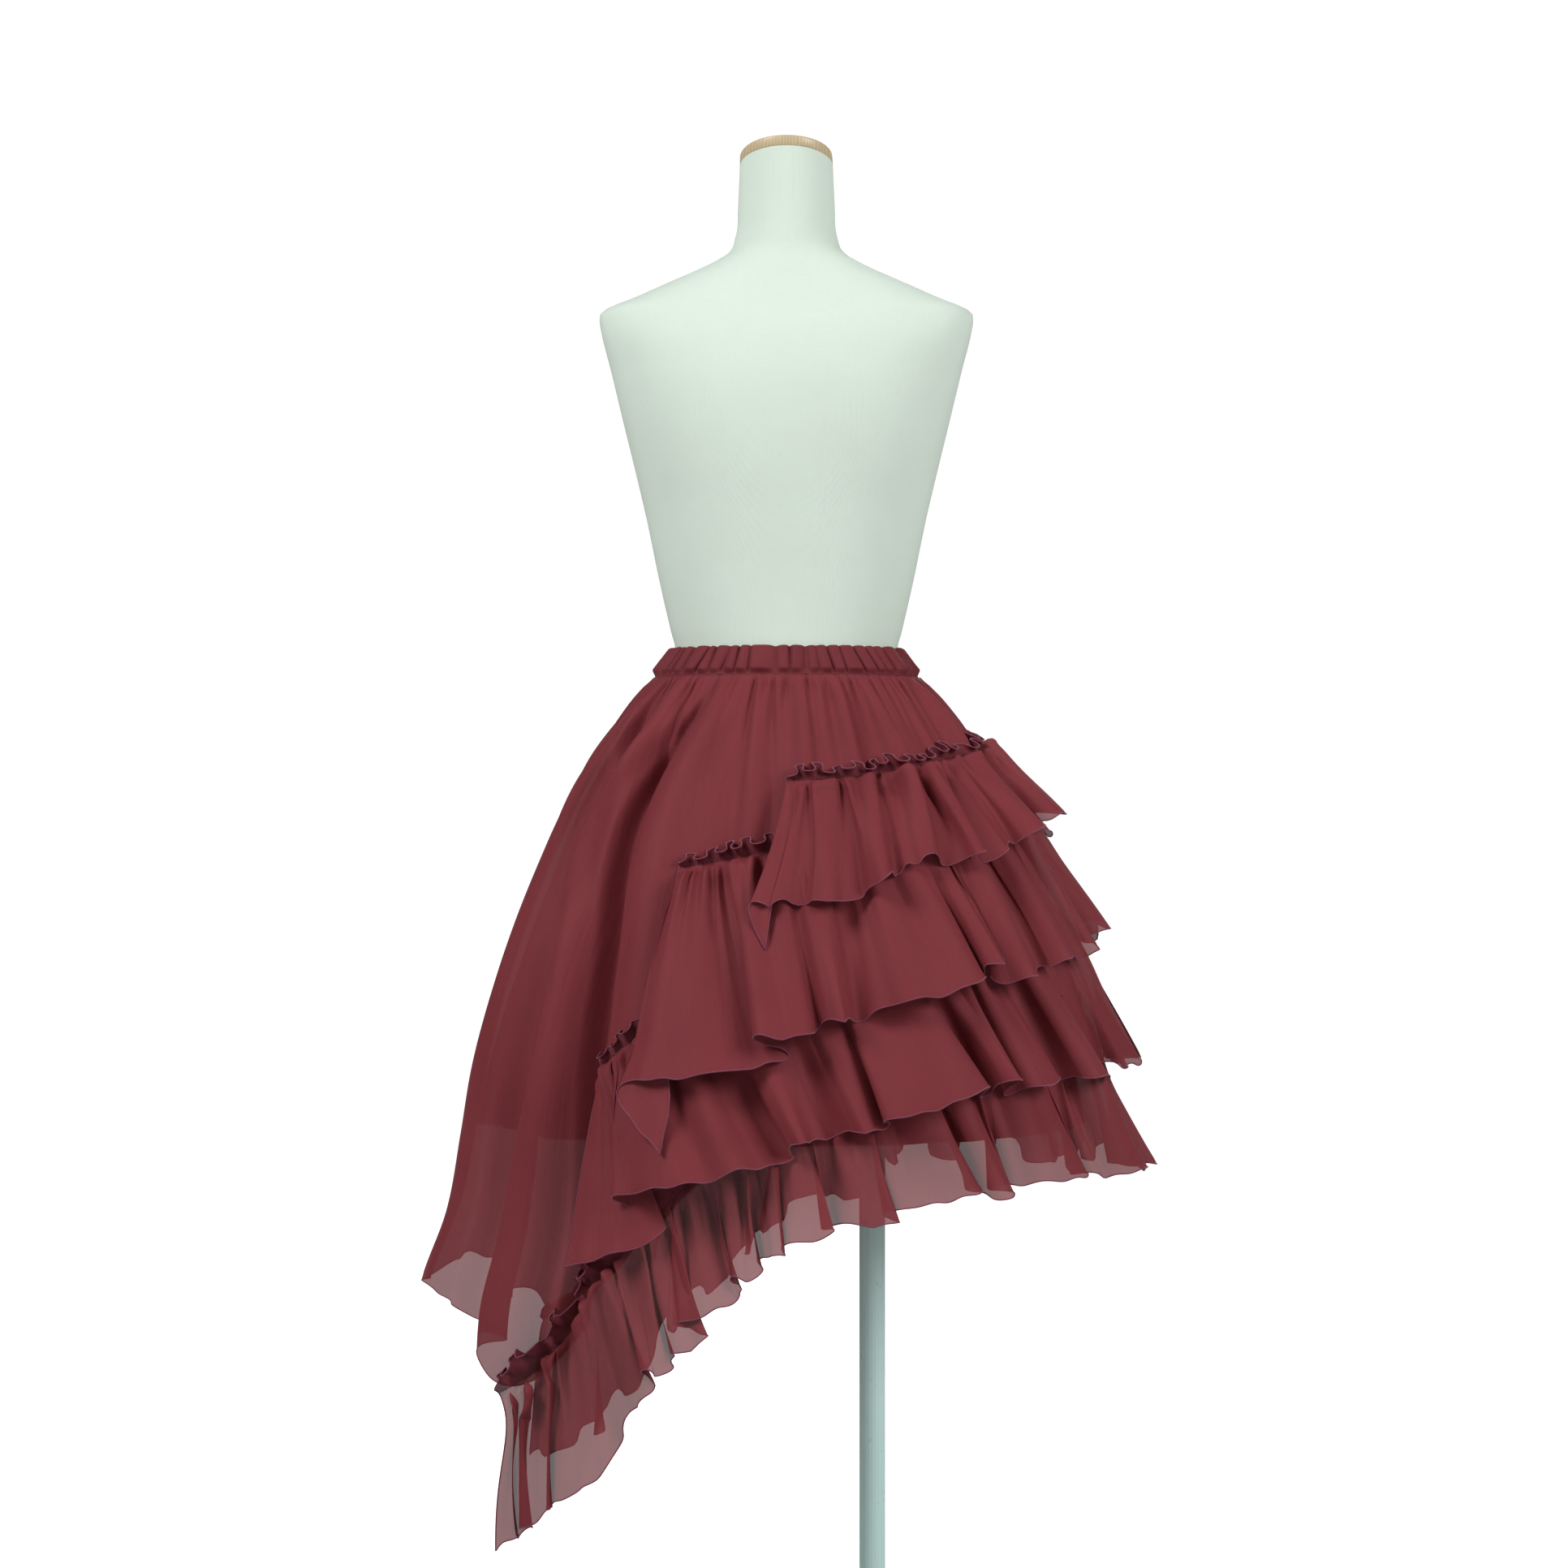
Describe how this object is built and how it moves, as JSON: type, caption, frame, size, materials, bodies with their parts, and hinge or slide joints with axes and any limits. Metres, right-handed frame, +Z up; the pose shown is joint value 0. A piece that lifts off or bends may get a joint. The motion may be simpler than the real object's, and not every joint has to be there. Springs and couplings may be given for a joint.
{
  "type": "tiered ruffle skirt on a dress form",
  "caption": "Sheer high-low skirt with a gathered elastic waistband, a long plain side panel and stepped ruffle tiers wrapping the other side, worn on a limbless dress form on a stand.",
  "frame": {"origin": "centre of the underside of the round base, on the floor", "axes": "+Z up along the pole, -Y towards the wearer's back, +X towards the wearer's right, where the tiers wrap round"},
  "size_m": [0.7878, 0.6639, 1.6492],
  "materials": {
    "waistband": "gathered chiffon casing over elastic, matt",
    "shell": "sheer burgundy chiffon, matt",
    "lining": "burgundy lining cloth, matt",
    "tiers": "sheer burgundy chiffon with rolled hems, matt",
    "form_cover": "plain off-white linen cover, stretched",
    "neck_cap": "pale wood, clear satin",
    "pole": "satin tube",
    "base": "satin plate"
  },
  "bodies": {
    "root": {"waistband": "waistband", "shell_back": "shell", "shell_front": "shell", "lining_back": "lining", "lining_front": "lining", "tier_1_back": "tiers", "tier_1_front": "tiers", "tier_2_back": "tiers", "tier_2_front": "tiers", "tier_3_back": "tiers", "tier_3_front": "tiers", "tier_4_back": "tiers", "tier_4_front": "tiers", "form_torso": "form_cover", "form_neck_cap": "neck_cap", "stand_pole": "pole", "stand_collar": "base", "stand_base": "base"}
  },
  "joints": []
}
